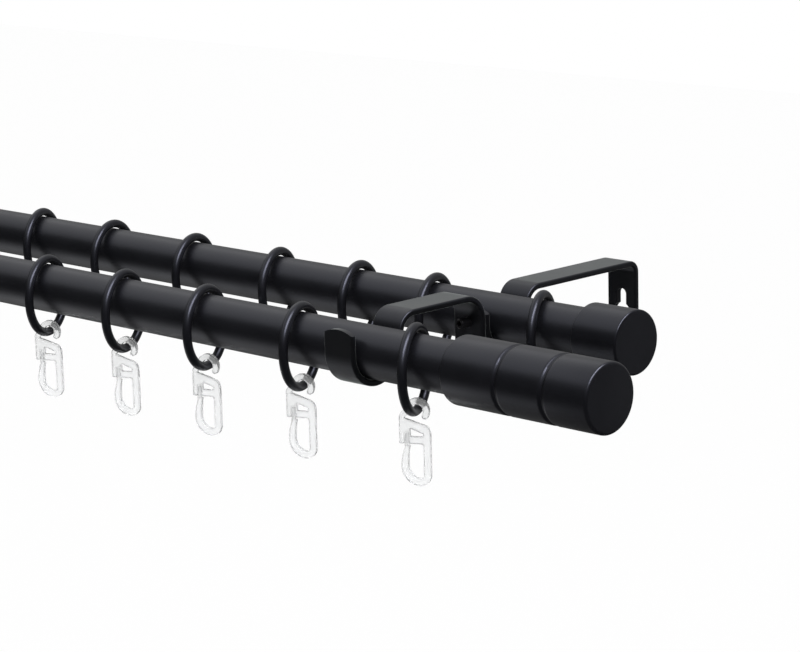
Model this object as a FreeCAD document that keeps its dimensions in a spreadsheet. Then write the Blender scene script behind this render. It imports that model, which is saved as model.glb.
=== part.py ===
# Double curtain pole: two poles one behind the other, held by bent strap brackets on a wall,
# with plain end caps, rings that slide on both poles and clip hooks on the front rings.
# Millimetres. +Z is up, -Y faces the room and the wall is the plane Y = 0.
# The origin lies on the wall, midway between the wide holes of the two wall plates.
import FreeCAD, Part
import Sketcher
import math
import os

SIDES = (("right", 1), ("left", -1))

doc = FreeCAD.newDocument("double_curtain_pole")
sheet = doc.addObject("Spreadsheet::Sheet", "Sizes")

# Driving dimensions
SIZES = (
    ("pole_diameter", "20"),
    ("pole_wall", "1.2"),
    ("pole_length", "1200"),
    ("rear_reach", "79"),
    ("pole_spacing", "72"),
    ("axis_rise", "11.1"),
    ("front_cap_diameter", "25.2"),
    ("front_cap_length", "69.3"),
    ("front_cap_bore_depth", "17.6"),
    ("rear_cap_diameter", "25"),
    ("rear_cap_length", "22"),
    ("rear_cap_bore_depth", "19"),
    ("cap_bore_clearance", "0.1"),
    ("cap_edge_radius", "0.8"),
    ("cap_ring_width", "24.3"),
    ("cap_groove_spacing", "20.7"),
    ("cap_groove_width", "1"),
    ("cap_groove_depth", "0.8"),
    ("bracket_inset", "69"),
    ("strap_width", "15"),
    ("strap_thickness", "2.4"),
    ("strap_edge_radius", "0.8"),
    ("cradle_clearance", "0.3"),
    ("tip_radius", "16"),
    ("front_tongue_height", "9.9"),
    ("front_lean", "15"),
    ("front_top_height", "13"),
    ("front_bend_radius", "8.45"),
    ("flange_bend_radius", "9.8"),
    ("flange_drop", "9"),
    ("rear_tongue_height", "6"),
    ("rear_top_height", "11.8"),
    ("rear_bend_radius", "8.4"),
    ("wall_bend_radius", "5"),
    ("wall_plate_drop", "28"),
    ("wall_hole_diameter", "9.5"),
    ("wall_slot_width", "4.8"),
    ("wall_slot_rise", "8.2"),
    ("screw_diameter", "4"),
    ("screw_length", "10"),
    ("screw_lift", "0.9"),
    ("screw_clearance", "0.05"),
    ("screw_end_gap", "0.1"),
    ("screw_socket_width", "2"),
    ("screw_socket_depth", "2.4"),
    ("screw_chamfer", "0.4"),
    ("ring_radius", "15.5"),
    ("ring_wire", "3.6"),
    ("ring_gap", "0.3"),
    ("hook_thickness", "2.2"),
    ("hook_edge_radius", "0.4"),
    ("eye_clearance", "0.3"),
    ("eye_wall", "2.55"),
    ("eye_shift", "0.5"),
    ("eye_mouth_angle", "32"),
    ("plate_left", "6.7"),
    ("plate_width", "3.9"),
    ("plate_top", "0.4"),
    ("plate_bottom", "13"),
    ("bar_width", "2.7"),
    ("bar_right", "5.6"),
    ("slant_left_drop", "1.5"),
    ("slant_right_drop", "5.6"),
    ("slant_corner_radius", "2.6"),
    ("crossbar_height", "2.9"),
    ("loop_depth", "28.4"),
    ("loop_right_radius", "2.7"),
    ("loop_left_radius", "6.25"),
    ("prong_radius", "25"),
    ("prong_height", "13.7"),
    ("latch_gap", "0.3"),
    ("latch_height", "6"),
)

# How far each ring hangs from the pole's end, and how far it is turned about the vertical
FRONT_RINGS = ((41.7, 26.5), (102.9, 21.8), (157.9, 20.7), (208.7, 21.9), (259.8, 23.7))
REAR_RINGS = ((44.1, 25.8), (101.4, 19.6), (144.8, 18.2), (193.6, 20.5), (248.1, 17.2),
              (304.3, 17.6), (356.4, 25.1))

for row, (alias, number) in enumerate(SIZES, start=1):
    sheet.set("A%d" % row, alias.replace("_", " "))
    sheet.set("B%d" % row, number)
    sheet.setAlias("B%d" % row, alias)
doc.recompute()


def size(alias):
    """The sheet's number for one driving dimension."""
    return float(sheet.get(alias))


def origin_plane(body, role):
    """One of a body's own origin planes."""
    for feature in body.Origin.OriginFeatures:
        if feature.Role == role:
            return feature


def new_body(label):
    """An empty body that carries its piece's name."""
    body = doc.addObject("PartDesign::Body", label)
    body.Label = label
    return body


def new_sketch(body, name, role, offset=None):
    """A sketch on one of the body's planes, moved along the plane's normal by an expression."""
    sketch = body.newObject("Sketcher::SketchObject", name)
    sketch.AttachmentSupport = (origin_plane(body, role), [""])
    sketch.MapMode = "FlatFace"
    if offset:
        sketch.setExpression("AttachmentOffset.Base.z", offset)
    return sketch


def dimension(sketch, kind, places, start, expression):
    """A driving constraint whose value comes from the sheet."""
    index = sketch.addConstraint(Sketcher.Constraint(kind, *places, start))
    sketch.setExpression("Constraints[%d]" % index, expression)


def line(first, second):
    return Part.LineSegment(FreeCAD.Vector(*first, 0), FreeCAD.Vector(*second, 0))


def arc(centre, radius, first_angle, last_angle):
    """An arc that runs anticlockwise between two angles in degrees."""
    circle = Part.Circle(FreeCAD.Vector(*centre, 0), FreeCAD.Vector(0, 0, 1), radius)
    return Part.ArcOfCircle(circle, math.radians(first_angle), math.radians(last_angle))


def point_at(centre, radius, angle):
    """A point of a circle, by its angle in degrees."""
    turn = math.radians(angle)
    return (centre[0] + radius * math.cos(turn), centre[1] + radius * math.sin(turn))


def add_circle(sketch, radius, expression):
    """A circle about the sketch's origin."""
    index = sketch.addGeometry(Part.Circle(FreeCAD.Vector(0, 0, 0), FreeCAD.Vector(0, 0, 1), radius))
    sketch.addConstraint(Sketcher.Constraint("Coincident", index, 3, -1, 1))
    dimension(sketch, "Radius", (index,), radius, expression)


def closed_outline(sketch, edges):
    """Joins edges end to end; each edge is drawn from its first point to its second."""
    for edge in edges:
        sketch.addGeometry(edge)


def pad(body, name, sketch, length, symmetric=True):
    """A pad whose length is an expression."""
    feature = body.newObject("PartDesign::Pad", name)
    feature.Profile = sketch
    feature.Midplane = symmetric
    feature.setExpression("Length", length)
    return feature


def pocket(body, name, sketch, depth):
    """A pocket whose depth is an expression."""
    feature = body.newObject("PartDesign::Pocket", name)
    feature.Profile = sketch
    feature.setExpression("Length", depth)
    return feature


def fillet(body, name, base, edges, radius):
    """A fillet on chosen edges of the body's last feature."""
    feature = body.newObject("PartDesign::Fillet", name)
    feature.Base = (base, edges)
    feature.setExpression("Radius", radius)
    return feature


def round_edges_at(shape, reach, radius):
    """Names of the circular edges at one distance along X and of one radius."""
    names = []
    for number, edge in enumerate(shape.Edges, start=1):
        curve = edge.Curve
        if isinstance(curve, Part.Circle) and abs(curve.Center.x - reach) < 0.001:
            if abs(curve.Radius - radius) < 0.001:
                names.append("Edge%d" % number)
    return names


POLE_RADIUS = "Sizes.pole_diameter / 2"
CRADLE_RADIUS = "Sizes.pole_diameter / 2 + Sizes.cradle_clearance"
CAP_BORE_RADIUS = "Sizes.pole_diameter / 2 + Sizes.cap_bore_clearance"
SCREW_HOLE_RADIUS = "Sizes.screw_diameter / 2 + Sizes.screw_clearance"
FLANGE_REACH = "Sizes.pole_spacing - Sizes.pole_diameter / 2 - Sizes.cradle_clearance - Sizes.strap_thickness"

pole_radius = size("pole_diameter") / 2
cradle_radius = pole_radius + size("cradle_clearance")
rear_axis_y = -size("rear_reach")
front_axis_y = rear_axis_y - size("pole_spacing")
axis_z = size("axis_rise")
half_pole = size("pole_length") / 2
flange_reach = size("pole_spacing") - cradle_radius - size("strap_thickness")


def make_pole(label, axis_y):
    """A round tube along X."""
    body = new_body(label)
    section = new_sketch(body, label + "_section", "YZ_Plane")
    add_circle(section, pole_radius, POLE_RADIUS)
    add_circle(section, pole_radius - size("pole_wall"), POLE_RADIUS + " - Sizes.pole_wall")
    pad(body, label + "_tube", section, "Sizes.pole_length")
    body.Placement.Base = FreeCAD.Vector(0, axis_y, axis_z)
    return body


def cut_ring_groove(body, name, distance):
    """A narrow round groove in a cap, at a distance from its outer end."""
    rim = new_sketch(body, name + "_section", "YZ_Plane", "Sizes.front_cap_length - (%s)" % distance)
    outer = size("front_cap_diameter") / 2
    add_circle(rim, outer + 1, "Sizes.front_cap_diameter / 2 + 1")
    floor = "Sizes.front_cap_diameter / 2 - Sizes.cap_groove_depth"
    add_circle(rim, outer - size("cap_groove_depth"), floor)
    groove = pocket(body, name, rim, "Sizes.cap_groove_width")
    groove.Midplane = True


def make_cap(label, kind, axis_y, side):
    """A turned end cap: a round body with a blind bore that the pole's end sits in."""
    body = new_body(label)
    radius = size(kind + "_diameter") / 2
    outline = new_sketch(body, label + "_outline", "YZ_Plane")
    add_circle(outline, radius, "Sizes.%s_diameter / 2" % kind)
    pad(body, label + "_round", outline, "Sizes.%s_length" % kind, False)
    mouth = new_sketch(body, label + "_mouth", "YZ_Plane")
    add_circle(mouth, pole_radius + size("cap_bore_clearance"), CAP_BORE_RADIUS)
    bore = pocket(body, label + "_bore", mouth, "Sizes.%s_bore_depth" % kind)
    bore.Reversed = True
    if kind == "front_cap":
        cut_ring_groove(body, label + "_outer_groove", "Sizes.cap_ring_width")
        cut_ring_groove(body, label + "_inner_groove", "Sizes.cap_ring_width + Sizes.cap_groove_spacing")
    doc.recompute()
    tip = body.Tip
    rims = round_edges_at(tip.Shape, 0, radius) + round_edges_at(tip.Shape, size(kind + "_length"), radius)
    fillet(body, label + "_rounding", tip, rims, "Sizes.cap_edge_radius")
    mouth_x = side * (half_pole - size(kind + "_bore_depth"))
    turn = 0 if side > 0 else 180
    body.Placement = FreeCAD.Placement(
        FreeCAD.Vector(mouth_x, axis_y, axis_z), FreeCAD.Rotation(FreeCAD.Vector(0, 0, 1), turn))
    return body


def draw_strap_path(body, label, kind):
    """The strap's middle line, seen from the side, about its own pole's axis.

    It runs down the tongue, round the cradle, up the back, over the bend, along the top,
    round the end bend and down the last leg.
    """
    half = size("strap_thickness") / 2
    lean = size("front_lean") if kind == "front" else 0
    top = size(kind + "_top_height")
    bend = size(kind + "_bend_radius") - half
    end_name = "flange_bend_radius" if kind == "front" else "wall_bend_radius"
    end_bend = size(end_name) - half
    reach = flange_reach if kind == "front" else size("rear_reach")
    drop_name = "flange_drop" if kind == "front" else "wall_plate_drop"
    cradle = cradle_radius + half
    tongue_top = (-cradle, size(kind + "_tongue_height"))
    leg_start = point_at((0, 0), cradle, -lean)
    turn = math.radians(lean)
    bend_z = top - half - bend
    rise = (bend_z - leg_start[1] + bend * math.sin(turn)) / math.cos(turn)
    bend_y = leg_start[0] + rise * math.sin(turn) + bend * math.cos(turn)
    leg_end = point_at((bend_y, bend_z), bend, 180 - lean)
    end_y = reach - half - end_bend
    end_z = top - half - end_bend
    path = body.newObject("Sketcher::SketchObject", label + "_path")
    path.AttachmentSupport = (origin_plane(body, "YZ_Plane"), [""])
    path.MapMode = "FlatFace"
    path.addGeometry(line(tongue_top, (-cradle, 0)))
    path.addGeometry(arc((0, 0), cradle, 180, 360 - lean))
    path.addGeometry(line(leg_start, leg_end))
    path.addGeometry(arc((bend_y, bend_z), bend, 90, 180 - lean))
    path.addGeometry(line((bend_y, top - half), (end_y, top - half)))
    path.addGeometry(arc((end_y, end_z), end_bend, 0, 90))
    path.addGeometry(line((reach - half, end_z), (reach - half, -size(drop_name))))
    tongue, round_part, leg, corner, run, end_corner, last = range(7)
    path.addConstraint(Sketcher.Constraint("Coincident", round_part, 3, -1, 1))
    path.addConstraint(Sketcher.Constraint("Vertical", tongue))
    path.addConstraint(Sketcher.Constraint("Tangent", tongue, 2, round_part, 1))
    path.addConstraint(Sketcher.Constraint("Tangent", round_part, 2, leg, 1))
    path.addConstraint(Sketcher.Constraint("Tangent", leg, 2, corner, 2))
    path.addConstraint(Sketcher.Constraint("Tangent", corner, 1, run, 1))
    path.addConstraint(Sketcher.Constraint("Tangent", run, 2, end_corner, 2))
    path.addConstraint(Sketcher.Constraint("Tangent", end_corner, 1, last, 1))
    path.addConstraint(Sketcher.Constraint("Horizontal", run))
    path.addConstraint(Sketcher.Constraint("Vertical", last))
    dimension(path, "Radius", (round_part,), cradle, CRADLE_RADIUS + " + Sizes.strap_thickness / 2")
    dimension(path, "Radius", (corner,), bend, "Sizes.%s_bend_radius - Sizes.strap_thickness / 2" % kind)
    dimension(path, "Radius", (end_corner,), end_bend, "Sizes.%s - Sizes.strap_thickness / 2" % end_name)
    dimension(path, "DistanceY", (-1, 1, tongue, 1), tongue_top[1], "Sizes.%s_tongue_height" % kind)
    dimension(path, "DistanceY", (-1, 1, run, 1), top - half,
              "Sizes.%s_top_height - Sizes.strap_thickness / 2" % kind)
    reach_text = FLANGE_REACH if kind == "front" else "Sizes.rear_reach"
    dimension(path, "DistanceX", (-1, 1, last, 1), reach - half, reach_text + " - Sizes.strap_thickness / 2")
    dimension(path, "DistanceY", (last, 2, -1, 1), size(drop_name), "Sizes." + drop_name)
    if kind == "front":
        dimension(path, "Angle", (leg,), math.radians(90 - lean), "90 - Sizes.front_lean")
    else:
        path.addConstraint(Sketcher.Constraint("Vertical", leg))
    return path


def draw_strap_section(body, label, kind):
    """The strap's flat section with rounded corners, at the tip of the tongue."""
    section = new_sketch(body, label + "_section", "XY_Plane", "Sizes.%s_tongue_height" % kind)
    wide = size("strap_width") / 2
    thick = size("strap_thickness") / 2
    soft = size("strap_edge_radius")
    middle = -cradle_radius - thick
    low, high = middle - thick, middle + thick
    left, right = -wide, wide
    corners = ((right - soft, low + soft, 270), (right - soft, high - soft, 0),
               (left + soft, high - soft, 90), (left + soft, low + soft, 180))
    section.addGeometry(line((left + soft, low), (right - soft, low)))
    section.addGeometry(line((right, low + soft), (right, high - soft)))
    section.addGeometry(line((right - soft, high), (left + soft, high)))
    section.addGeometry(line((left, high - soft), (left, low + soft)))
    for x, y, start in corners:
        section.addGeometry(arc((x, y), soft, start, start + 90))
    for number in range(4):
        section.addConstraint(Sketcher.Constraint("Tangent", number, 2, 4 + number, 1))
        section.addConstraint(Sketcher.Constraint("Tangent", 4 + number, 2, (number + 1) % 4, 1))
        dimension(section, "Radius", (4 + number,), soft, "Sizes.strap_edge_radius")
    section.addConstraint(Sketcher.Constraint("Horizontal", 0))
    section.addConstraint(Sketcher.Constraint("Vertical", 1))
    dimension(section, "DistanceX", (-1, 1, 1, 1), wide, "Sizes.strap_width / 2")
    dimension(section, "DistanceX", (3, 1, -1, 1), wide, "Sizes.strap_width / 2")
    dimension(section, "DistanceY", (2, 1, -1, 1), cradle_radius, CRADLE_RADIUS)
    dimension(section, "DistanceY", (0, 1, -1, 1), -low, CRADLE_RADIUS + " + Sizes.strap_thickness")
    return section


def round_tongue_tip(body, label, kind):
    """Cuts the tongue's end to a shallow arc."""
    depth = CRADLE_RADIUS + " + Sizes.strap_thickness + 1"
    sketch = new_sketch(body, label + "_tip", "XZ_Plane", depth)
    peak = size(kind + "_tongue_height")
    radius = size("tip_radius")
    over = size("strap_width") / 2 + 1
    spread = math.degrees(math.asin(over / radius))
    centre = (0, peak - radius)
    left = point_at(centre, radius, 90 + spread)
    right = point_at(centre, radius, 90 - spread)
    roof = peak + 1
    sketch.addGeometry(arc(centre, radius, 90 - spread, 90 + spread))
    sketch.addGeometry(line(left, (left[0], roof)))
    sketch.addGeometry(line((left[0], roof), (right[0], roof)))
    sketch.addGeometry(line((right[0], roof), right))
    for first, end, second, start in ((0, 2, 1, 1), (1, 2, 2, 1), (2, 2, 3, 1), (3, 2, 0, 1)):
        sketch.addConstraint(Sketcher.Constraint("Coincident", first, end, second, start))
    sketch.addConstraint(Sketcher.Constraint("PointOnObject", 0, 3, -2))
    dimension(sketch, "Radius", (0,), radius, "Sizes.tip_radius")
    dimension(sketch, "DistanceY", (0, 3, -1, 1), radius - peak,
              "Sizes.tip_radius - Sizes.%s_tongue_height" % kind)
    dimension(sketch, "DistanceX", (1, 2, -1, 1), over, "Sizes.strap_width / 2 + 1")
    dimension(sketch, "DistanceX", (-1, 1, 3, 1), over, "Sizes.strap_width / 2 + 1")
    dimension(sketch, "DistanceY", (-1, 1, 1, 2), roof, "Sizes.%s_tongue_height + 1" % kind)
    sketch.addConstraint(Sketcher.Constraint("Vertical", 1))
    sketch.addConstraint(Sketcher.Constraint("Horizontal", 2))
    sketch.addConstraint(Sketcher.Constraint("Vertical", 3))
    pocket(body, label + "_tip_cut", sketch, "Sizes.strap_thickness + 2")


def drill_screw_hole(body, label, front_face):
    """The clamping screw's round hole, through one leg along Y."""
    sketch = new_sketch(body, label + "_hole", "XZ_Plane", front_face + " + 1")
    radius = size("screw_diameter") / 2 + size("screw_clearance")
    lift = size("screw_lift")
    sketch.addGeometry(Part.Circle(FreeCAD.Vector(0, lift, 0), FreeCAD.Vector(0, 0, 1), radius))
    sketch.addConstraint(Sketcher.Constraint("PointOnObject", 0, 3, -2))
    dimension(sketch, "DistanceY", (-1, 1, 0, 3), lift, "Sizes.screw_lift")
    dimension(sketch, "Radius", (0,), radius, SCREW_HOLE_RADIUS)
    pocket(body, label + "_drilling", sketch, "Sizes.strap_thickness + 2")


def cut_keyhole(body, label):
    """The wall plate's keyhole: a wide round hole with a narrower slot above it."""
    behind = "-(Sizes.rear_reach - Sizes.strap_thickness - 1)"
    wide = new_sketch(body, label + "_wide_hole", "XZ_Plane", behind)
    radius = size("wall_hole_diameter") / 2
    wide.addGeometry(Part.Circle(FreeCAD.Vector(0, -axis_z, 0), FreeCAD.Vector(0, 0, 1), radius))
    wide.addConstraint(Sketcher.Constraint("PointOnObject", 0, 3, -2))
    dimension(wide, "DistanceY", (0, 3, -1, 1), axis_z, "Sizes.axis_rise")
    dimension(wide, "Radius", (0,), radius, "Sizes.wall_hole_diameter / 2")
    pocket(body, label + "_wide_cut", wide, "Sizes.strap_thickness + 2")
    slot = new_sketch(body, label + "_slot", "XZ_Plane", behind)
    half = size("wall_slot_width") / 2
    top = size("wall_slot_rise") - axis_z
    slot.addGeometry(arc((0, top), half, 0, 180))
    slot.addGeometry(line((-half, top), (-half, -axis_z)))
    slot.addGeometry(line((-half, -axis_z), (half, -axis_z)))
    slot.addGeometry(line((half, -axis_z), (half, top)))
    slot.addConstraint(Sketcher.Constraint("Tangent", 0, 2, 1, 1))
    slot.addConstraint(Sketcher.Constraint("Coincident", 1, 2, 2, 1))
    slot.addConstraint(Sketcher.Constraint("Coincident", 2, 2, 3, 1))
    slot.addConstraint(Sketcher.Constraint("Tangent", 3, 2, 0, 1))
    slot.addConstraint(Sketcher.Constraint("PointOnObject", 0, 3, -2))
    slot.addConstraint(Sketcher.Constraint("Vertical", 1))
    slot.addConstraint(Sketcher.Constraint("Horizontal", 2))
    slot.addConstraint(Sketcher.Constraint("Vertical", 3))
    dimension(slot, "Radius", (0,), half, "Sizes.wall_slot_width / 2")
    dimension(slot, "DistanceY", (0, 3, -1, 1), -top, "Sizes.axis_rise - Sizes.wall_slot_rise")
    dimension(slot, "DistanceY", (1, 2, -1, 1), axis_z, "Sizes.axis_rise")
    pocket(body, label + "_slot_cut", slot, "Sizes.strap_thickness + 2")


def bracket_x(side):
    """Where a bracket stands along the pole."""
    return side * (half_pole - size("bracket_inset"))


def make_strap(label, kind, axis_y, side):
    """A bent steel strap: a tongue, a cradle for the pole, a top run and a last leg."""
    body = new_body(label)
    path = draw_strap_path(body, label, kind)
    section = draw_strap_section(body, label, kind)
    sweep = body.newObject("PartDesign::AdditivePipe", label + "_bent_strap")
    sweep.Profile = section
    sweep.Spine = (path, [])
    doc.recompute()
    round_tongue_tip(body, label, kind)
    if kind == "front":
        drill_screw_hole(body, label, "-(%s - Sizes.strap_thickness)" % FLANGE_REACH)
    else:
        drill_screw_hole(body, label, CRADLE_RADIUS + " + Sizes.strap_thickness")
        cut_keyhole(body, label)
    body.Placement.Base = FreeCAD.Vector(bracket_x(side), axis_y, axis_z)
    return body


def chain(sketch, count):
    """Joins a run of edges into one closed outline, each edge's end to the next one's start."""
    for number in range(count):
        sketch.addConstraint(Sketcher.Constraint("Coincident", number, 2, (number + 1) % count, 1))


def make_screw(label, side):
    """A headless screw with a hexagon socket, which passes both legs and clamps the rear pole."""
    body = new_body(label)
    outline = new_sketch(body, label + "_outline", "XZ_Plane")
    radius = size("screw_diameter") / 2
    add_circle(outline, radius, "Sizes.screw_diameter / 2")
    pad(body, label + "_shank", outline, "Sizes.screw_length", False)
    socket = new_sketch(body, label + "_socket", "XZ_Plane", "Sizes.screw_length")
    corner = size("screw_socket_width") / math.sqrt(3)
    corners = [point_at((0, 0), corner, 60 * number) for number in range(6)]
    for number in range(6):
        socket.addGeometry(line(corners[number], corners[(number + 1) % 6]))
    chain(socket, 6)
    rim = socket.addGeometry(Part.Circle(FreeCAD.Vector(0, 0, 0), FreeCAD.Vector(0, 0, 1), corner), True)
    socket.addConstraint(Sketcher.Constraint("Coincident", rim, 3, -1, 1))
    dimension(socket, "Radius", (rim,), corner, "Sizes.screw_socket_width / sqrt(3)")
    for number in range(6):
        socket.addConstraint(Sketcher.Constraint("PointOnObject", number, 1, rim))
    for number in range(1, 6):
        socket.addConstraint(Sketcher.Constraint("Equal", 0, number))
    socket.addConstraint(Sketcher.Constraint("PointOnObject", 0, 1, -1))
    pocket(body, label + "_socket_cut", socket, "Sizes.screw_socket_depth")
    doc.recompute()
    tip = body.Tip
    ends = []
    for number, edge in enumerate(tip.Shape.Edges, start=1):
        if isinstance(edge.Curve, Part.Circle):
            ends.append("Edge%d" % number)
    bevel = body.newObject("PartDesign::Chamfer", label + "_bevel")
    bevel.Base = (tip, ends)
    bevel.setExpression("Size", "Sizes.screw_chamfer")
    lift = size("screw_lift")
    seat = math.sqrt(pole_radius ** 2 - lift ** 2) + size("screw_end_gap")
    body.Placement.Base = FreeCAD.Vector(bracket_x(side), rear_axis_y - seat, axis_z + lift)
    return body


def ring_centre_drop():
    """How far a ring's centre hangs below its pole's axis."""
    inner_radius = size("ring_radius") - size("ring_wire") / 2
    return inner_radius - pole_radius - size("ring_gap")


def make_ring(label, inset, turn, axis_y, side):
    """A closed ring of round wire, hanging on the pole and turned about the vertical."""
    ring = doc.addObject("Part::Torus", label)
    ring.Label = label
    ring.setExpression("Radius1", "Sizes.ring_radius")
    ring.setExpression("Radius2", "Sizes.ring_wire / 2")
    upright = FreeCAD.Rotation(FreeCAD.Vector(0, 1, 0), 90)
    turned = FreeCAD.Rotation(FreeCAD.Vector(0, 0, 1), side * turn)
    centre = FreeCAD.Vector(side * (half_pole - inset), axis_y, axis_z - ring_centre_drop())
    ring.Placement = FreeCAD.Placement(centre, turned.multiply(upright))
    return ring


def eye_inner_radius():
    return size("ring_wire") / 2 + size("eye_clearance")


def draw_eye(body, label):
    """The hook's open eye: a thick C round the ring's wire, with its mouth low on the right."""
    eye = new_sketch(body, label + "_eye", "XZ_Plane")
    inner = eye_inner_radius()
    outer = inner + size("eye_wall")
    shift = size("eye_shift")
    mouth = -size("eye_mouth_angle")
    back = 180 + size("eye_mouth_angle")
    first = point_at((shift, 0), outer, mouth)
    second = point_at((0, 0), inner, mouth)
    third = point_at((shift, 0), outer, back)
    fourth = point_at((0, 0), inner, back)
    eye.addGeometry(arc((shift, 0), outer, mouth, back))
    eye.addGeometry(line(third, fourth))
    eye.addGeometry(arc((0, 0), inner, mouth, back))
    eye.addGeometry(line(second, first))
    for one, end, other, start in ((0, 2, 1, 1), (1, 2, 2, 2), (2, 1, 3, 1), (3, 2, 0, 1)):
        eye.addConstraint(Sketcher.Constraint("Coincident", one, end, other, start))
    eye.addConstraint(Sketcher.Constraint("Coincident", 2, 3, -1, 1))
    eye.addConstraint(Sketcher.Constraint("PointOnObject", 0, 3, -1))
    dimension(eye, "DistanceX", (-1, 1, 0, 3), shift, "Sizes.eye_shift")
    dimension(eye, "Radius", (2,), inner, "Sizes.ring_wire / 2 + Sizes.eye_clearance")
    dimension(eye, "Radius", (0,), outer, "Sizes.ring_wire / 2 + Sizes.eye_clearance + Sizes.eye_wall")
    return eye


def draw_polygon(body, name, corners):
    """A closed outline of straight edges on the hook's own plane."""
    sketch = new_sketch(body, name, "XZ_Plane")
    for number, corner in enumerate(corners):
        sketch.addGeometry(line(corner, corners[(number + 1) % len(corners)]))
    chain(sketch, len(corners))
    return sketch


def draw_loop(body, label):
    """The middle line of the curtain loop: down the right bar, round the bottom and up the prong."""
    half = size("bar_width") / 2
    right = size("bar_right") - half
    right_radius = size("loop_right_radius")
    left_radius = size("loop_left_radius")
    bottom = -size("loop_depth") + half
    middle = right - right_radius
    right_z = bottom + right_radius
    left_z = bottom + left_radius
    left = middle - left_radius
    prong = size("prong_radius")
    lean = math.degrees(math.asin((left_z + size("prong_height")) / -prong))
    path = new_sketch(body, label + "_loop", "XZ_Plane")
    top = -size("plate_bottom") + half
    path.addGeometry(line((right, top), (right, right_z)))
    path.addGeometry(arc((middle, right_z), right_radius, 270, 360))
    path.addGeometry(arc((middle, left_z), left_radius, 180, 270))
    path.addGeometry(arc((left + prong, left_z), prong, 180 - lean, 180))
    path.addConstraint(Sketcher.Constraint("Vertical", 0))
    path.addConstraint(Sketcher.Constraint("Tangent", 0, 2, 1, 2))
    path.addConstraint(Sketcher.Constraint("Tangent", 1, 1, 2, 2))
    path.addConstraint(Sketcher.Constraint("Tangent", 2, 1, 3, 2))
    dimension(path, "Radius", (1,), right_radius, "Sizes.loop_right_radius")
    dimension(path, "Radius", (2,), left_radius, "Sizes.loop_left_radius")
    dimension(path, "Radius", (3,), prong, "Sizes.prong_radius")
    dimension(path, "DistanceX", (-1, 1, 0, 1), right, "Sizes.bar_right - Sizes.bar_width / 2")
    dimension(path, "DistanceY", (0, 1, -1, 1), -top, "Sizes.plate_bottom - Sizes.bar_width / 2")
    dimension(path, "DistanceY", (1, 1, -1, 1), -bottom, "Sizes.loop_depth - Sizes.bar_width / 2")
    dimension(path, "DistanceY", (3, 1, -1, 1), size("prong_height"), "Sizes.prong_height")
    return path


def draw_bar_section(body, label):
    """The loop's rectangular section, across the top of the right bar."""
    section = new_sketch(body, label + "_bar", "XY_Plane", "-Sizes.plate_bottom + Sizes.bar_width / 2")
    wide = size("bar_width") / 2
    thick = size("hook_thickness") / 2
    middle = size("bar_right") - wide
    corners = ((middle - wide, -thick), (middle + wide, -thick), (middle + wide, thick), (middle - wide, thick))
    for number, corner in enumerate(corners):
        section.addGeometry(line(corner, corners[(number + 1) % 4]))
    chain(section, 4)
    for number, kind in enumerate(("Horizontal", "Vertical", "Horizontal", "Vertical")):
        section.addConstraint(Sketcher.Constraint(kind, number))
    dimension(section, "DistanceX", (-1, 1, 1, 1), middle + wide, "Sizes.bar_right")
    dimension(section, "DistanceX", (0, 1, 0, 2), 2 * wide, "Sizes.bar_width")
    dimension(section, "DistanceY", (0, 1, -1, 1), thick, "Sizes.hook_thickness / 2")
    dimension(section, "DistanceY", (-1, 1, 2, 1), thick, "Sizes.hook_thickness / 2")
    return section


def plate_corners():
    """The back plate, seen from the front: its left, its right, its top and its bottom."""
    left = -size("plate_left")
    return left, left + size("plate_width"), -size("plate_top"), -size("plate_bottom")


def make_hook(label, inset, turn, side):
    """A moulded clip hook: an eye for the ring, a plate, two cross bars and a loop with a springy prong."""
    body = new_body(label)
    thickness = "Sizes.hook_thickness"
    pad(body, label + "_eye_pad", draw_eye(body, label), thickness)
    left, plate_right, top, bottom = plate_corners()
    right = size("bar_right")
    bar = size("bar_width")
    slant_left = -size("slant_left_drop")
    slant_right = -size("slant_right_drop")
    soft = size("slant_corner_radius")
    plate = draw_polygon(body, label + "_plate", (
        (left, bottom), (plate_right, bottom), (plate_right, top), (left + soft / 2, top), (left, top - soft)))
    pad(body, label + "_plate_pad", plate, thickness)
    slant = draw_polygon(body, label + "_slant", (
        (left, slant_left - bar), (right - bar, slant_right - bar), (right, slant_right - bar - soft),
        (right, slant_right - soft), (right - soft, slant_right), (plate_right, slant_left)))
    pad(body, label + "_slant_pad", slant, thickness)
    side_bar = draw_polygon(body, label + "_side_bar", (
        (right - bar, bottom), (right, bottom), (right, slant_right - soft), (right - bar, slant_right - bar)))
    pad(body, label + "_side_pad", side_bar, thickness)
    cross = draw_polygon(body, label + "_crossbar", (
        (plate_right - 1, bottom), (right - bar / 2, bottom),
        (right - bar / 2, bottom + size("crossbar_height")), (plate_right - 1, bottom + size("crossbar_height"))))
    pad(body, label + "_crossbar_pad", cross, thickness)
    sweep = body.newObject("PartDesign::AdditivePipe", label + "_loop_sweep")
    sweep.Profile = draw_bar_section(body, label)
    sweep.Spine = (draw_loop(body, label), [])
    body.Tip = sweep
    turned = FreeCAD.Rotation(FreeCAD.Vector(0, 0, 1), side * turn)
    wire_z = axis_z - ring_centre_drop() - size("ring_radius")
    base = FreeCAD.Vector(side * (half_pole - inset), front_axis_y, wire_z)
    body.Placement = FreeCAD.Placement(base, turned)
    return body


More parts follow.
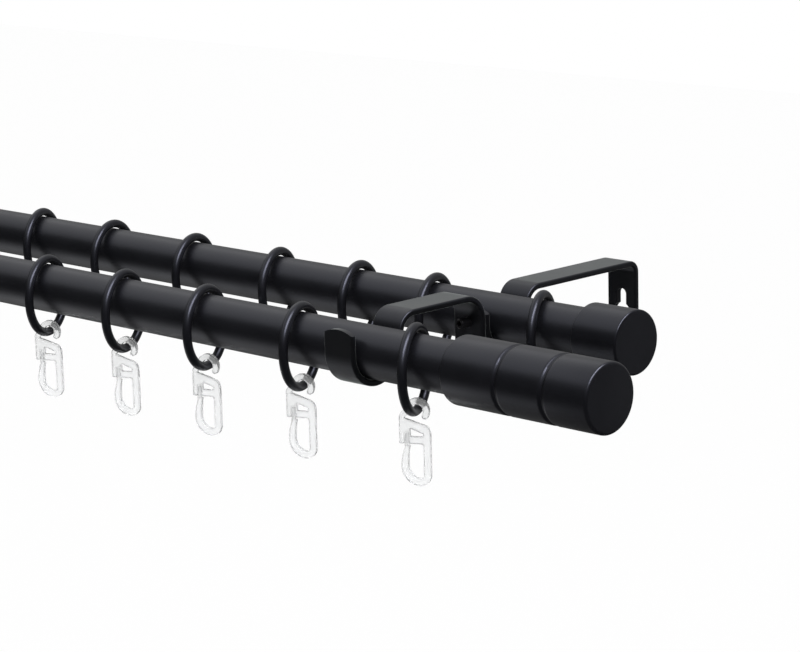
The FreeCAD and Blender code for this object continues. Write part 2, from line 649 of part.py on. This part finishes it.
pieces = [
    make_pole("front_pole", front_axis_y),
    make_pole("rear_pole", rear_axis_y),
]
for side_name, side in SIDES:
    pieces.append(make_cap("front_cap_" + side_name, "front_cap", front_axis_y, side))
    pieces.append(make_cap("rear_cap_" + side_name, "rear_cap", rear_axis_y, side))
    pieces.append(make_strap("wall_bracket_" + side_name, "rear", rear_axis_y, side))
    pieces.append(make_strap("front_arm_" + side_name, "front", front_axis_y, side))
    pieces.append(make_screw("clamp_screw_" + side_name, side))
    for number, (inset, turn) in enumerate(FRONT_RINGS, start=1):
        name = "%s_%d" % (side_name, number)
        pieces.append(make_ring("front_ring_" + name, inset, turn, front_axis_y, side))
        pieces.append(make_hook("hook_" + name, inset, turn, side))
    for number, (inset, turn) in enumerate(REAR_RINGS, start=1):
        name = "%s_%d" % (side_name, number)
        pieces.append(make_ring("rear_ring_" + name, inset, turn, rear_axis_y, side))

doc.recompute()

for item in doc.Objects:
    if "Invalid" in item.State or "Error" in item.State:
        raise RuntimeError("%s failed: %s" % (item.Label, item.State))

os.makedirs("parts", exist_ok=True)
for piece in pieces:
    shape = piece.Shape
    if shape.isNull() or not shape.isValid() or len(shape.Solids) != 1:
        raise RuntimeError("%s is not one valid solid" % piece.Label)
    shape.exportStep(os.path.join("parts", piece.Label + ".step"))
print("%d pieces written" % len(pieces))
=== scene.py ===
import math

import bmesh
import bpy
from mathutils import Matrix, Vector


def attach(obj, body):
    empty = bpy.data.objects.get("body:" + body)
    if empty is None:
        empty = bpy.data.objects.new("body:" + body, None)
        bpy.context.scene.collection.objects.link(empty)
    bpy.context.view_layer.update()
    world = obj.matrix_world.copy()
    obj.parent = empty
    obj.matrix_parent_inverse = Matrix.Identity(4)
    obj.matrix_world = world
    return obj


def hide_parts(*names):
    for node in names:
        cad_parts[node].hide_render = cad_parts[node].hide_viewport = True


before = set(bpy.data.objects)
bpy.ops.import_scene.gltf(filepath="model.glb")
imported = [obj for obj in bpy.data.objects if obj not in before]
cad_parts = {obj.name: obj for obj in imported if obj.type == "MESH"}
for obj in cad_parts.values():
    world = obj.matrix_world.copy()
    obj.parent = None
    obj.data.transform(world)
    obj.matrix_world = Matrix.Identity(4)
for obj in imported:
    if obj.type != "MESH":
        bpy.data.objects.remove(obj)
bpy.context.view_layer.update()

# The camera that took the photograph: its place in metres and its turns in degrees
PHOTO_WIDTH = 800
FOCAL_PIXELS = 2641
SENSOR_MM = 36
CAMERA_PLACE = Vector((1.2206, -0.8160, 0.2279))
CAMERA_YAW = 45.196
CAMERA_PITCH = 12.256
CAMERA_ROLL = 1.525

# The floor and the backdrop, in metres, and how much of each the camera sees as pure white
FLOOR_Z = -0.9
BACKDROP_Y = 6.2
BACKDROP_TOP = 14.0
STAGE_REACH = 15.0
STAGE_GREY = 0.9
FLOOR_WHITE = 0.96
BACKDROP_WHITE = 1.0

# How bright the stage is in reflections. Each pair of pairs maps places in metres on brightness.
FLOOR_PATCH = (-0.75, -0.5, FLOOR_Z)
FLOOR_FADE = -1.6
FLOOR_BASE = 0.03
FLOOR_NEAR_BY_X = ((-0.5, -0.15), (1.1, 0.3))
FLOOR_FAR_BY_Y = ((1.5, 1.7), (0, 0.25))
FLOOR_FAR_BY_X = ((-1.0, 3.0), (1.0, 0.45))
BACKDROP_BY_Z = ((-1.8, 10.2), (0.24, 0.65))
BACKDROP_BY_X = ((-2.6, 6.5), (1.0, 0.45))

# The world: its light on dull surfaces, and how bright it is in reflections at each height
PLAIN_LEVEL = 0.9
SKY_BY_HEIGHT = ((0.27, 0.80), (0.05, 0.65))

# The lamps: name, place, target, long side, length and width in metres, watts, colour
LAMPS = (
    ("softbox", (-1.15, -0.1, 1.0), (-1.15, -0.1, 0), (0, 1, 0), 2.2, 2.1, 6, (1, 1, 1)),
    ("strip", (1.0, -0.25, 1.0), (0.5, -0.15, 0), (-0.2, 0.98, 0), 1.2, 0.4, 18, (0.94, 0.93, 1.0)),
)

# The usual range of a noise's values
NOISE_RANGE = (0.3, 0.7)

# The black lacquers: darkest and lightest colour, and the range of roughness
LACQUERS = {
    "pole_lacquer": ((0.0036, 0.0037, 0.0044, 1), (0.0048, 0.0049, 0.0058, 1), (0.33, 0.38)),
    "strap_lacquer": ((0.0018, 0.0019, 0.0019, 1), (0.0026, 0.0027, 0.0027, 1), (0.34, 0.40)),
    "cap_lacquer": ((0.0032, 0.0033, 0.0040, 1), (0.0044, 0.0045, 0.0054, 1), (0.28, 0.33)),
    "ring_lacquer": ((0.0036, 0.0037, 0.0044, 1), (0.0048, 0.0049, 0.0058, 1), (0.30, 0.36)),
}
LACQUER_TINT = (0.80, 0.83, 1.0, 1)
LACQUER_IOR = 1.5
POWDER_SHEEN = 0.5
POWDER_SHEEN_ROUGHNESS = 0.24
POWDER_SHEEN_TINT = (0.92, 1.0, 0.97, 1)

PLASTIC_CLEAR = (0.875, 0.88, 0.88, 1)
PLASTIC_CLOUDY = (0.835, 0.84, 0.84, 1)
PLASTIC_IOR = 1.35
PLASTIC_TRANSMISSION = 0.72

STEEL_DARK = (0.006, 0.006, 0.007, 1)
STEEL_LIGHT = (0.012, 0.012, 0.013, 1)
STEEL_METALLIC = 0.3

# Which material the nodes with each mark in their names wear
FINISHES = (
    ("_pole", "pole_lacquer"),
    ("_bracket", "strap_lacquer"),
    ("_arm", "strap_lacquer"),
    ("_cap", "cap_lacquer"),
    ("_ring", "ring_lacquer"),
    ("hook_", "clear_plastic"),
    ("_screw", "screw_steel"),
)

# The pieces that this script builds, in millimetres, about the same axes as the solids
MILLIMETRE = 0.001
SIDES = (("right", 1), ("left", -1))
FRONT_AXIS_Y = -151
AXIS_Z = 11.1
HALF_POLE = 600

# The front cap, along its axis from its mouth: the grooves' places are from its closed end
CAP_BORE = 17.6
CAP_LENGTH = 69.3
CAP_RADIUS = 12.9
CAP_MOUTH_RADIUS = 10.1
CAP_MOUTH_CHAMFER = 0.3
CAP_ROUNDING = 1.2
CAP_GROOVES = (42.6, 20.7)
GROOVE_HALF_WIDTH = 1.1
GROOVE_DEPTH = 0.8
GROOVE_LIP = 0.7
GROOVE_MARGIN = 2
CAP_SEGMENTS = 160
CAP_SHARP_ANGLE = 50

# How far each front ring hangs from the pole's end, and how far it is turned about the vertical
RING_INSETS = ((41.7, 26.5), (102.9, 21.8), (157.9, 20.7), (208.7, 21.9), (259.8, 23.7))
WIRE_Z = -7.8

# The hook, seen from the side about the middle of its ring's wire, with angles in degrees
HOOK_THICKNESS = 2.2
HOOK_SOFT = 0.3
HOOK_SHARP_ANGLE = 40
EYE_CENTRE = (0.35, 0)
EYE_INNER = 2.45
EYE_OUTER = 4.8
EYE_MOUTH = -31
EYE_BACK = 195
EYE_ROOT = 175
LOOP_CENTRE = (1.3, -21.05)
LOOP_INNER = 4.65
LOOP_OUTER = 7.35
CORNER_CENTRE = (1.3, -24.35)
CORNER_INNER = 1.35
CORNER_OUTER = 4.05
PRONG_CENTRE = (20.3, -21.05)
PRONG_RADIUS = 25
PRONG_LEAN = 18
PRONG_ROOT = 1.35
PRONG_TAPER = 0.55
PRONG_TAPER_POWER = 1.5
PRONG_STEPS = 8
PRONG_TIP_SOFT = 0.3

# The hook's straight corners: across, up, and how far each one's rounding reaches
PLATE_CORNERS = ((-5.3, -0.2, 0.6), (-6.6, -1.9, 0.8), (-6.6, -12.5, 0.5), (2.65, -12.5, 1.0))
SLANT_CORNERS = ((5.35, -6.1, 2.8), (-4.9, -3.0, 0.5))
WINDOW_CORNERS = ((-2.55, -6.6, 0.5), (2.65, -8.6, 0.4), (2.65, -9.9, 0.4), (-2.55, -9.9, 0.4))
NOTCH_CORNERS = ((-4.85, -13.5, 0), (-2.3, -13.5, 0), (-2.3, -7.9, 0), (-4.85, -7.9, 0.4))
TONGUE_CORNERS = ((-4.6, -14.2, 0), (-2.75, -14.2, 0), (-2.85, -8.5, 0.4), (-4.25, -8.5, 0.4))

# The notch's floor and the tongue's middle lie this far in front of the hook's middle plane
NOTCH_FLOOR = 0.15
NOTCH_SOFT = 0.05
TONGUE_MIDDLE = 0.62
TONGUE_HALF_THICKNESS = 0.425
TONGUE_SOFT = 0.12


def add_camera():
    """The photograph's view: yaw turns to the left of +Y, pitch looks down, roll tips clockwise."""
    yaw, pitch, roll = (math.radians(turn) for turn in (CAMERA_YAW, CAMERA_PITCH, CAMERA_ROLL))
    level = math.cos(pitch)
    forward = Vector((-math.sin(yaw) * level, math.cos(yaw) * level, -math.sin(pitch)))
    right = Vector((math.cos(yaw), math.sin(yaw), 0))
    down = forward.cross(right)
    tilted_right = math.cos(roll) * right + math.sin(roll) * down
    tilted_down = -math.sin(roll) * right + math.cos(roll) * down
    turn = Matrix((tilted_right, -tilted_down, -forward)).transposed()
    data = bpy.data.cameras.new("camera")
    data.sensor_width = SENSOR_MM
    data.lens = FOCAL_PIXELS / PHOTO_WIDTH * SENSOR_MM
    data.clip_start = 0.05
    data.clip_end = 50
    camera = bpy.data.objects.new("camera", data)
    camera.matrix_world = Matrix.Translation(CAMERA_PLACE) @ turn.to_4x4()
    bpy.context.scene.collection.objects.link(camera)
    bpy.context.scene.camera = camera


def new_material(name):
    """A material with nodes, and its main shader."""
    material = bpy.data.materials.new(name)
    material.use_nodes = True
    return material, material.node_tree, material.node_tree.nodes["Principled BSDF"]


def add_node(tree, kind, **values):
    """A shader node with some of its inputs or properties set."""
    node = tree.nodes.new(kind)
    for name, value in values.items():
        if name in node.inputs:
            node.inputs[name].default_value = value
        else:
            setattr(node, name, value)
    return node


def set_inputs(shader, values):
    """Sets inputs of a shader by their names."""
    for name, value in values.items():
        shader.inputs[name].default_value = value


def compute(tree, operation, first, second=None):
    """One step of arithmetic on sockets or numbers."""
    node = add_node(tree, "ShaderNodeMath", operation=operation)
    for socket, value in zip(node.inputs, (first, second)):
        if isinstance(value, bpy.types.NodeSocket):
            tree.links.new(value, socket)
        elif value is not None:
            socket.default_value = value
    return node.outputs[0]


def ramp(tree, source, source_range, result_range, kind="LINEAR"):
    """Maps one range of a value on another."""
    node = add_node(tree, "ShaderNodeMapRange", interpolation_type=kind)
    names = ("From Min", "From Max", "To Min", "To Max")
    for name, value in zip(names, (*source_range, *result_range)):
        node.inputs[name].default_value = value
    tree.links.new(source, node.inputs["Value"])
    return node.outputs["Result"]


def add_noise(tree, scale, detail=3.0):
    """Noise over the object's own coordinates."""
    place = add_node(tree, "ShaderNodeTexCoord")
    noise = add_node(tree, "ShaderNodeTexNoise", Scale=scale, Detail=detail)
    tree.links.new(place.outputs["Object"], noise.inputs["Vector"])
    return noise.outputs["Fac"]


def add_bump(tree, shader, height, strength, distance):
    """A fine bump on the shader's normal."""
    bump = add_node(tree, "ShaderNodeBump", Strength=strength, Distance=distance)
    tree.links.new(height, bump.inputs["Height"])
    tree.links.new(bump.outputs["Normal"], shader.inputs["Normal"])


def vary(tree, shader, noise, first, second, roughness):
    """Lets the noise move the colour between two, and the roughness within its range."""
    mix = add_node(tree, "ShaderNodeMix", data_type="RGBA")
    colours = [socket for socket in mix.inputs if socket.type == "RGBA"]
    colours[0].default_value = first
    colours[1].default_value = second
    tree.links.new(ramp(tree, noise, NOISE_RANGE, (0, 1)), mix.inputs["Factor"])
    result = [socket for socket in mix.outputs if socket.type == "RGBA"][0]
    tree.links.new(result, shader.inputs["Base Color"])
    tree.links.new(ramp(tree, noise, NOISE_RANGE, roughness), shader.inputs["Roughness"])


def black_lacquer(name):
    """Baked black lacquer: a fine orange peel, and a gloss that wanders a little."""
    material, tree, shader = new_material(name)
    vary(tree, shader, add_noise(tree, scale=60), *LACQUERS[name])
    set_inputs(shader, {"Specular Tint": LACQUER_TINT, "IOR": LACQUER_IOR})
    add_bump(tree, shader, add_noise(tree, scale=900, detail=2.0), strength=0.08, distance=0.0002)
    return material


def powder_lacquer(name):
    """The straps' lacquer is a little powdery, so that it pales where it is seen at a glance."""
    material = black_lacquer(name)
    set_inputs(material.node_tree.nodes["Principled BSDF"], {
        "Sheen Weight": POWDER_SHEEN,
        "Sheen Roughness": POWDER_SHEEN_ROUGHNESS,
        "Sheen Tint": POWDER_SHEEN_TINT,
    })
    return material


def clear_plastic(name):
    """Clear moulded plastic: faint flow marks and a slightly uneven surface."""
    material, tree, shader = new_material(name)
    vary(tree, shader, add_noise(tree, scale=160), PLASTIC_CLEAR, PLASTIC_CLOUDY, (0.15, 0.22))
    set_inputs(shader, {"IOR": PLASTIC_IOR, "Transmission Weight": PLASTIC_TRANSMISSION})
    add_bump(tree, shader, add_noise(tree, scale=500, detail=2.0), strength=0.1, distance=0.0003)
    return material


def screw_steel(name):
    """Blackened steel with fine turning marks."""
    material, tree, shader = new_material(name)
    grain = add_noise(tree, scale=700)
    vary(tree, shader, grain, STEEL_DARK, STEEL_LIGHT, (0.3, 0.45))
    set_inputs(shader, {"Metallic": STEEL_METALLIC})
    add_bump(tree, shader, grain, strength=0.1, distance=0.0002)
    return material


def make_materials():
    """One material for each finish, by its name."""
    makers = {
        "pole_lacquer": black_lacquer,
        "strap_lacquer": powder_lacquer,
        "cap_lacquer": black_lacquer,
        "ring_lacquer": black_lacquer,
        "clear_plastic": clear_plastic,
        "screw_steel": screw_steel,
    }
    return {name: make(name) for name, make in makers.items()}


def dress_solids(materials):
    """Each kind of carried-over piece wears a finish of its own."""
    for node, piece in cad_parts.items():
        for mark, finish in FINISHES:
            if mark in node:
                piece.data.materials.clear()
                piece.data.materials.append(materials[finish])


def on_circle(centre, radius, degrees):
    """A point of a circle."""
    angle = math.radians(degrees)
    return centre[0] + radius * math.cos(angle), centre[1] + radius * math.sin(angle)


def arc_points(centre, radius, start, end, steps):
    """Points of an arc between two angles in degrees, both ends included."""
    turn = end - start
    return [on_circle(centre, radius, start + turn * step / steps) for step in range(steps + 1)]


def soften(corners, steps=4):
    """Rounds an outline's corners; each one says how far its rounding reaches, 0 for none."""
    points = []
    for number, (x, y, reach) in enumerate(corners):
        if reach == 0:
            points.append((x, y))
            continue
        here = Vector((x, y))
        before = Vector(corners[number - 1][:2]) - here
        after = Vector(corners[(number + 1) % len(corners)][:2]) - here
        start = here + before.normalized() * min(reach, before.length / 2)
        end = here + after.normalized() * min(reach, after.length / 2)
        for step in range(steps + 1):
            share = step / steps
            point = start.lerp(here, share).lerp(here.lerp(end, share), share)
            points.append((point.x, point.y))
    return points


def plain(points):
    """Outline points whose corners stay as they are."""
    return [(x, y, 0) for x, y in points]


def slab(name, outlines, half_thickness, soft):
    """A flat moulded slab with soft edges from closed outlines; the inner ones are openings."""
    data = bpy.data.curves.new(name, "CURVE")
    data.dimensions = "2D"
    data.fill_mode = "BOTH"
    data.extrude = half_thickness - soft
    data.bevel_depth = soft
    data.bevel_resolution = 2
    data.offset = -soft
    for outline in outlines:
        spline = data.splines.new("POLY")
        spline.points.add(len(outline) - 1)
        for point, (x, y) in zip(spline.points, outline):
            point.co = (x, y, 0, 1)
        spline.use_cyclic_u = True
    carrier = bpy.data.objects.new(name, data)
    bpy.context.scene.collection.objects.link(carrier)
    bpy.context.view_layer.update()
    shape = carrier.evaluated_get(bpy.context.evaluated_depsgraph_get())
    mesh = bpy.data.meshes.new_from_object(shape)
    bpy.data.objects.remove(carrier)
    work = bmesh.new()
    work.from_mesh(mesh)
    bmesh.ops.remove_doubles(work, verts=work.verts, dist=0.001)
    work.to_mesh(mesh)
    work.free()
    return mesh


def combine(first, second, operation):
    """One mesh cut by another or joined with it."""
    carriers = []
    for mesh in (first, second):
        carrier = bpy.data.objects.new(mesh.name, mesh)
        bpy.context.scene.collection.objects.link(carrier)
        carriers.append(carrier)
    step = carriers[0].modifiers.new("combine", "BOOLEAN")
    step.operation = operation
    step.solver = "EXACT"
    step.object = carriers[1]
    bpy.context.view_layer.update()
    shape = carriers[0].evaluated_get(bpy.context.evaluated_depsgraph_get())
    result = bpy.data.meshes.new_from_object(shape)
    for carrier in carriers:
        bpy.data.objects.remove(carrier)
    return result


def prong_sides():
    """The prong's inner and outer side, from its root on the loop to its tip."""
    inner = []
    outer = []
    for step in range(PRONG_STEPS + 1):
        share = step / PRONG_STEPS
        half = PRONG_ROOT - PRONG_TAPER * share ** PRONG_TAPER_POWER
        angle = 180 - PRONG_LEAN * share
        inner.append(on_circle(PRONG_CENTRE, PRONG_RADIUS - half, angle))
        outer.append(on_circle(PRONG_CENTRE, PRONG_RADIUS + half, angle))
    return inner, outer


def hook_outline():
    """The hook from the side: the open eye, the plate, the bar, the loop and its prong."""
    tip_centre = on_circle(EYE_CENTRE, (EYE_INNER + EYE_OUTER) / 2, EYE_MOUTH)
    tip_radius = (EYE_OUTER - EYE_INNER) / 2
    tip = arc_points(tip_centre, tip_radius, EYE_MOUTH + 180, EYE_MOUTH + 360, 8)
    inner_prong, outer_prong = prong_sides()
    outline = plain(arc_points(EYE_CENTRE, EYE_INNER, EYE_BACK, EYE_MOUTH, 36))
    outline += plain(tip[1:-1])
    outline += plain(arc_points(EYE_CENTRE, EYE_OUTER, EYE_MOUTH, EYE_ROOT, 36))
    outline += PLATE_CORNERS
    outline += plain(arc_points(CORNER_CENTRE, CORNER_INNER, 360, 270, 8))
    outline += plain(arc_points(LOOP_CENTRE, LOOP_INNER, 270, 180, 12)[1:-1])
    outline += plain(inner_prong[:-1])
    outline += [(*inner_prong[-1], PRONG_TIP_SOFT), (*outer_prong[-1], PRONG_TIP_SOFT)]
    outline += plain(outer_prong[-2::-1])
    outline += plain(arc_points(LOOP_CENTRE, LOOP_OUTER, 180, 270, 14)[1:])
    outline += plain(arc_points(CORNER_CENTRE, CORNER_OUTER, 270, 360, 10)[1:])
    outline += SLANT_CORNERS
    return soften(outline)


def hook_shape():
    """The moulded hook, in millimetres: its body, the notch in it and the tongue in the notch."""
    half = HOOK_THICKNESS / 2
    body = slab("hook_body", [hook_outline(), soften(WINDOW_CORNERS)], half, HOOK_SOFT)
    notch = slab("hook_notch", [soften(NOTCH_CORNERS)], half, NOTCH_SOFT)
    notch.transform(Matrix.Translation((0, 0, half + NOTCH_FLOOR)))
    tongue = slab("hook_tongue", [soften(TONGUE_CORNERS)], TONGUE_HALF_THICKNESS, TONGUE_SOFT)
    tongue.transform(Matrix.Translation((0, 0, TONGUE_MIDDLE)))
    return combine(combine(body, notch, "DIFFERENCE"), tongue, "UNION")


def finish_piece(name, mesh, material, body, node, sharp_angle):
    """Puts a built piece in the scene in place of its solid."""
    mesh.materials.clear()
    mesh.materials.append(material)
    mesh.shade_smooth()
    mesh.set_sharp_from_angle(angle=math.radians(sharp_angle))
    piece = bpy.data.objects.new(name, mesh)
    bpy.context.scene.collection.objects.link(piece)
    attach(piece, body)
    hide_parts(node)


def build_hooks(material):
    """Each front ring carries the same moulded hook, turned with its ring."""
    shape = hook_shape()
    upright = Matrix.Rotation(math.radians(90), 4, "X")
    metres = Matrix.Scale(MILLIMETRE, 4)
    for side_name, side in SIDES:
        for number, (inset, turn) in enumerate(RING_INSETS, start=1):
            node = f"hook_{side_name}_{number}"
            place = Matrix.Translation((side * (HALF_POLE - inset), FRONT_AXIS_Y, WIRE_Z))
            turned = Matrix.Rotation(math.radians(side * turn), 4, "Z")
            mesh = shape.copy()
            mesh.transform(metres @ place @ turned @ upright)
            finish_piece(f"clip_hook_{side_name}_{number}", mesh, material, node, node,
                         HOOK_SHARP_ANGLE)


def groove_profile(middle):
    """A groove with sloped sides and soft lips, about its middle along the cap."""
    return soften([
        (middle - GROOVE_MARGIN, CAP_RADIUS, 0),
        (middle - GROOVE_HALF_WIDTH, CAP_RADIUS, GROOVE_LIP),
        (middle, CAP_RADIUS - GROOVE_DEPTH, GROOVE_LIP),
        (middle + GROOVE_HALF_WIDTH, CAP_RADIUS, GROOVE_LIP),
        (middle + GROOVE_MARGIN, CAP_RADIUS, 0),
    ])


def cap_profile():
    """The front cap's turned profile, from the bottom of its bore to the middle of its end."""
    rounding_radius = CAP_RADIUS - CAP_ROUNDING
    profile = [(CAP_BORE, 0), (CAP_BORE, CAP_MOUTH_RADIUS)]
    profile += [(CAP_MOUTH_CHAMFER, CAP_MOUTH_RADIUS), (0, CAP_MOUTH_RADIUS + CAP_MOUTH_CHAMFER)]
    profile += arc_points((CAP_ROUNDING, rounding_radius), CAP_ROUNDING, 180, 90, 6)
    for distance in CAP_GROOVES:
        profile += groove_profile(CAP_LENGTH - distance)
    profile += arc_points((CAP_LENGTH - CAP_ROUNDING, rounding_radius), CAP_ROUNDING, 90, 0, 6)
    profile.append((CAP_LENGTH, 0))
    return profile


def build_cap(side_name, side, material):
    """A front cap, turned about the pole's axis."""
    work = bmesh.new()
    rows = []
    for x, radius in cap_profile():
        place = side * (HALF_POLE - CAP_BORE + x)
        if radius == 0:
            rows.append([work.verts.new((place, FRONT_AXIS_Y, AXIS_Z))] * CAP_SEGMENTS)
            continue
        row = []
        for number in range(CAP_SEGMENTS):
            angle = 2 * math.pi * number / CAP_SEGMENTS
            row.append(work.verts.new((place, FRONT_AXIS_Y + radius * math.cos(angle),
                                       AXIS_Z + radius * math.sin(angle))))
        rows.append(row)
    for near, far in zip(rows, rows[1:]):
        for number in range(CAP_SEGMENTS):
            following = (number + 1) % CAP_SEGMENTS
            corners = (near[number], near[following], far[following], far[number])
            work.faces.new(list(dict.fromkeys(corners)))
    bmesh.ops.recalc_face_normals(work, faces=work.faces)
    mesh = bpy.data.meshes.new("turned_cap_" + side_name)
    work.to_mesh(mesh)
    work.free()
    mesh.transform(Matrix.Scale(MILLIMETRE, 4))
    finish_piece("turned_cap_" + side_name, mesh, material, "fixed", "front_cap_" + side_name,
                 CAP_SHARP_ANGLE)


def white_stage(name, corners, gloss, white_share):
    """A pale plane that the camera sees as white, up to a share, and reflections see dimmer.

    gloss makes its brightness in reflections, from its own coordinates in metres. What
    white_share leaves is lit like any surface, and keeps the object's shadow.
    """
    mesh = bpy.data.meshes.new(name)
    mesh.from_pydata(corners, [], [(0, 1, 2, 3)])
    plane = bpy.data.objects.new(name, mesh)
    bpy.context.scene.collection.objects.link(plane)
    material, tree, shader = new_material(name)
    set_inputs(shader, {"Base Color": (STAGE_GREY, STAGE_GREY, STAGE_GREY, 1), "Roughness": 0.9})
    path = add_node(tree, "ShaderNodeLightPath").outputs
    place = add_node(tree, "ShaderNodeTexCoord").outputs["Object"]
    clear = compute(tree, "MAXIMUM", path["Is Camera Ray"], path["Is Transmission Ray"])
    reflected = compute(tree, "MULTIPLY", path["Is Glossy Ray"], gloss(tree, place))
    glow = add_node(tree, "ShaderNodeEmission")
    tree.links.new(compute(tree, "ADD", clear, reflected), glow.inputs["Strength"])
    seen = compute(tree, "MULTIPLY", path["Is Camera Ray"], white_share)
    other = compute(tree, "MAXIMUM", path["Is Transmission Ray"], path["Is Glossy Ray"])
    blend = add_node(tree, "ShaderNodeMixShader")
    tree.links.new(compute(tree, "MAXIMUM", seen, other), blend.inputs["Fac"])
    tree.links.new(shader.outputs[0], blend.inputs[1])
    tree.links.new(glow.outputs[0], blend.inputs[2])
    tree.links.new(blend.outputs[0], tree.nodes["Material Output"].inputs["Surface"])
    material.cycles.emission_sampling = "NONE"
    mesh.materials.append(material)


def split(tree, place):
    """The three coordinates of a place."""
    across = add_node(tree, "ShaderNodeSeparateXYZ")
    tree.links.new(place, across.inputs[0])
    return across.outputs


def floor_gloss(tree, place):
    """Reflections see a bright patch to the left below the poles, and a pale floor far behind."""
    away = add_node(tree, "ShaderNodeVectorMath", operation="DISTANCE")
    tree.links.new(place, away.inputs[0])
    away.inputs[1].default_value = FLOOR_PATCH
    falling = compute(tree, "MULTIPLY", away.outputs["Value"], FLOOR_FADE)
    fading = compute(tree, "EXPONENT", falling)
    across = split(tree, place)
    share = ramp(tree, across["X"], *FLOOR_NEAR_BY_X)
    near = compute(tree, "ADD", compute(tree, "MULTIPLY", fading, share), FLOOR_BASE)
    far = compute(tree, "MULTIPLY", ramp(tree, across["Y"], *FLOOR_FAR_BY_Y),
                  ramp(tree, across["X"], *FLOOR_FAR_BY_X))
    return compute(tree, "ADD", near, far)


def backdrop_gloss(tree, place):
    """Reflections see a backdrop that brightens upwards and to the left."""
    across = split(tree, place)
    rise = ramp(tree, across["Z"], *BACKDROP_BY_Z)
    share = ramp(tree, across["X"], *BACKDROP_BY_X)
    return compute(tree, "MULTIPLY", rise, share)


def add_stage():
    """The floor, and the backdrop that stands on its far edge."""
    near, far, reach = -STAGE_REACH, BACKDROP_Y, STAGE_REACH
    floor = [(-reach, near, FLOOR_Z), (reach, near, FLOOR_Z),
             (reach, far, FLOOR_Z), (-reach, far, FLOOR_Z)]
    backdrop = [(-reach, far, FLOOR_Z), (reach, far, FLOOR_Z),
                (reach, far, BACKDROP_TOP), (-reach, far, BACKDROP_TOP)]
    white_stage("floor", floor, floor_gloss, FLOOR_WHITE)
    white_stage("backdrop", backdrop, backdrop_gloss, BACKDROP_WHITE)


def add_area(name, place, target, along, length, width, power, colour):
    """A soft box that faces a point, its long side as near to one direction as it can be."""
    data = bpy.data.lights.new(name, "AREA")
    data.shape = "RECTANGLE"
    data.size = length
    data.size_y = width
    data.energy = power
    data.color = colour
    back = (Vector(place) - Vector(target)).normalized()
    across = Vector(along)
    across = (across - across.dot(back) * back).normalized()
    turn = Matrix((across, back.cross(across), back)).transposed()
    lamp = bpy.data.objects.new(name, data)
    lamp.matrix_world = Matrix.Translation(place) @ turn.to_4x4()
    bpy.context.scene.collection.objects.link(lamp)


def add_world():
    """A plain white world, which reflections see bright above and dim towards the horizon."""
    world = bpy.data.worlds.new("world")
    bpy.context.scene.world = world
    world.use_nodes = True
    world.cycles.sampling_method = "NONE"
    tree = world.node_tree
    background = tree.nodes["Background"]
    background.inputs["Color"].default_value = (1, 1, 1, 1)
    path = add_node(tree, "ShaderNodeLightPath").outputs
    direction = split(tree, add_node(tree, "ShaderNodeTexCoord").outputs["Generated"])
    sky = ramp(tree, direction["Z"], *SKY_BY_HEIGHT, "SMOOTHSTEP")
    clear = compute(tree, "MAXIMUM", path["Is Camera Ray"], path["Is Transmission Ray"])
    dull = compute(tree, "MULTIPLY", path["Is Diffuse Ray"], PLAIN_LEVEL)
    reflected = compute(tree, "MULTIPLY", path["Is Glossy Ray"], sky)
    direct = compute(tree, "MAXIMUM", dull, clear)
    tree.links.new(compute(tree, "ADD", direct, reflected), background.inputs["Strength"])


add_camera()
materials = make_materials()
dress_solids(materials)
build_hooks(materials["clear_plastic"])
for side_name, side in SIDES:
    build_cap(side_name, side, materials["cap_lacquer"])
add_stage()
for lamp in LAMPS:
    add_area(*lamp)
add_world()
bpy.context.scene.view_settings.view_transform = "Standard"
